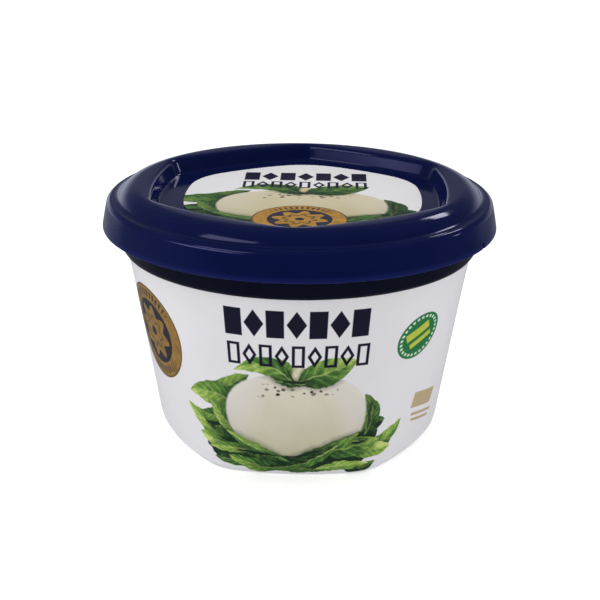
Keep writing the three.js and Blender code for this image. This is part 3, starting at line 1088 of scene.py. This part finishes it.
# Painted light and shade: on the lid's copy the cheese is tinted warmer and the leaves darker.
lid_colour = lid_film.tinted(lid_colour, PAINTED_LIGHT_WARMTH, lid_cover * (1 - leafy))
lid_colour = lid_film.tinted(lid_colour, PAINTED_LEAF_SHADE, lid_cover * leafy)
lid_art = Artwork(lid_film, x, y, lid_colour, lid_cover)
frieze(lid_art, -16.4, 15.2, degrees=0.4, width=34.8, height=8.2, count=7, fill=0.84)
frieze(lid_art, -16.4, 7.4, degrees=0.4, width=34.8, height=6.4, count=9, fill=0.8, line=0.8)
medallion(lid_art, 0.7, -22.4, radius=12.2, gold=LID_GOLD)
lid_film.drive("Base Color", lid_art.colour)
lid_film.put_on(lid_label)
print("lid film", len(lid_film.tree.nodes), "nodes")

# %% [markdown]
# ## The table
# The pot stands on a plain pale table that reaches far beyond the picture. It glows a little,
# which keeps it white and lights the wall from below. It isn't mirrored in the plastic, where the
# studio's own pale sweep stands for it.

# %% Floor
TABLE_RADIUS, TABLE_SIDES = 4, 64
MOTTLE_SCALE = 6
floor_mesh = bpy.data.meshes.new("table_top")
bm = bmesh.new()
bmesh.ops.create_circle(bm, cap_ends=True, radius=TABLE_RADIUS, segments=TABLE_SIDES)
bm.to_mesh(floor_mesh)
bm.free()
floor = bpy.data.objects.new("table_top", floor_mesh)
bpy.context.scene.collection.objects.link(floor)
floor.visible_glossy = False
table = Finish("pale_table", Roughness=0.9, Specular_IOR_Level=0.1, Emission_Strength=0.48,
               Emission_Color=(1, 1, 1, 1))
mottle = table.noise(table.place(), MOTTLE_SCALE)
table.drive("Base Color", table.blend((0.7, 0.7, 0.7, 1), (0.74, 0.74, 0.74, 1), mottle))
table.put_on(floor)
print("table", 2 * TABLE_RADIUS, "m across")

# %% [markdown]
# ## Softboxes
# The key at the upper left leaves a long streak on the dome, and a wider fill beside it, which
# isn't mirrored, lights the wall. A low box behind on the right leaves a short bar on the dome,
# and a small one lifts the far right. Each row is an azimuth and an elevation in degrees, then a
# distance, a width and a height in metres, and watts.

# %% Area lights
LIT_POINT = Vector((0, 0, 60 * MM))


def softbox(name, azimuth, elevation, distance, width, height, power, glossy=True):
    """An area light that looks at the lid. Azimuth 0 is in front of the pot, 90 to its right."""
    turn, lift = math.radians(azimuth), math.radians(elevation)
    level = math.cos(lift)
    away = Vector((math.sin(turn) * level, -math.cos(turn) * level, math.sin(lift)))
    data = bpy.data.lights.new(name, "AREA")
    data.shape = "RECTANGLE"
    data.size, data.size_y = width, height
    data.energy = power
    light = bpy.data.objects.new(name, data)
    light.location = LIT_POINT + away * distance
    light.rotation_euler = (-away).to_track_quat("-Z", "Y").to_euler()
    light.visible_glossy = glossy
    bpy.context.scene.collection.objects.link(light)
    print(name, power, "W")


softbox("key_softbox", -50, 43.5, 0.9, 0.45, 0.24, 0.74)
softbox("key_fill", -52, 42, 0.95, 0.5, 0.5, 1.05, glossy=False)
softbox("rear_softbox", 143.5, 38.2, 0.9, 0.25, 0.11, 0.52)
softbox("side_softbox", 104, 19, 0.9, 0.07, 0.1, 0.14)

# %% [markdown]
# ## The studio round the pot
# One world does two jobs, parted by the Light Path node. What lights the pot is bright at both
# sides and dim in front, so the wall is shaded softly. What the gloss mirrors is darker: a pale
# sweep behind the pot draws the dome's sides, and a card at the front left shows in the sunken
# panel. A ramp's first number is where it starts, its second how fast it rises.

# %% World directions
world = bpy.data.worlds.new("studio")
bpy.context.scene.world = world
world.use_nodes = True
studio = Wiring(world.node_tree)
heading_to = studio.node("ShaderNodeTexCoord", output="Generated")
to_right, to_back, to_top = studio.axes(heading_to)
to_front = (to_back * -1).most(0)

# %% Light on the pot
SIDE_LIGHT, TOP_LIGHT, FRONT_SHADE, DIMMEST = 1.42, 0.46, 0.6, 0.02
room = DIMMEST + abs(to_right) * SIDE_LIGHT + to_top.most(0) * TOP_LIGHT
room = (room - to_front ** 3 * FRONT_SHADE).most(DIMMEST)

# %% Light in the gloss
LOW_SWEEP, HIGH_SWEEP, CARD_LIGHT, WALL_LIGHT = 0.85, 0.3, 4.4, 0.09
MIRRORED_TINT = (0.8, 0.84, 1, 1)
sweep = to_top.ramp(-0.17, 8) * to_top.ramp(0.24, -5.5) * LOW_SWEEP
sweep = sweep + to_top.ramp(0.4, -3) * HIGH_SWEEP
sweep = to_back.ramp(0.45, 2.5) * (0.56 - to_right * 0.28).clamped() * sweep
card = to_right.ramp(-0.45, -5) * to_front.ramp(0.15, 5)
card = card * to_top.ramp(0.15, 8) * to_top.ramp(0.52, -6) * CARD_LIGHT
walls = (WALL_LIGHT - to_right * 0.03) * (1 - to_front * 0.8)

# %% World output
mirrored = studio.node("ShaderNodeLightPath", output="Is Glossy Ray")
strength = (1 - mirrored) * room + mirrored * (sweep + walls + card)
tint = studio.blend((1, 1, 1, 1), MIRRORED_TINT, mirrored)
background = world.node_tree.nodes["Background"]
world.node_tree.links.new(strength.socket, background.inputs["Strength"])
world.node_tree.links.new(tint.socket, background.inputs["Color"])
print("studio", len(world.node_tree.nodes), "nodes")

# %% [markdown]
# ## Camera
# The camera looks down at the pot by about twenty degrees through a short telephoto lens. It
# stands a little to the pot's right and is rolled by half a degree.

# %% Camera
IMAGE_SIDE = 600
FOCAL_PIXELS = 1308.7
SENSOR = 36
VIEW_DISTANCE = 0.3598
VIEW_DROP = math.radians(20.02)
VIEW_TURN = math.radians(1.77)
VIEW_ROLL = 0.0097
LOOK_AT = Vector((0.3 * MM, 0, 35.05 * MM))

camera_data = bpy.data.cameras.new("camera")
camera_data.sensor_width = SENSOR
camera_data.lens = FOCAL_PIXELS / IMAGE_SIDE * SENSOR
camera = bpy.data.objects.new("camera", camera_data)
back_off = Vector((0, -math.cos(VIEW_DROP), math.sin(VIEW_DROP))) * VIEW_DISTANCE
turned_view = Matrix.Rotation(VIEW_TURN, 4, "Z")
aim = Matrix.Rotation(math.pi / 2 - VIEW_DROP, 4, "X") @ Matrix.Rotation(VIEW_ROLL, 4, "Z")
camera.matrix_world = turned_view @ Matrix.Translation(LOOK_AT + back_off) @ aim
bpy.context.scene.collection.objects.link(camera)
bpy.context.scene.camera = camera
bpy.context.scene.view_settings.view_transform = "Standard"
print("lens", round(camera_data.lens, 1), "mm on a", SENSOR, "mm sensor")
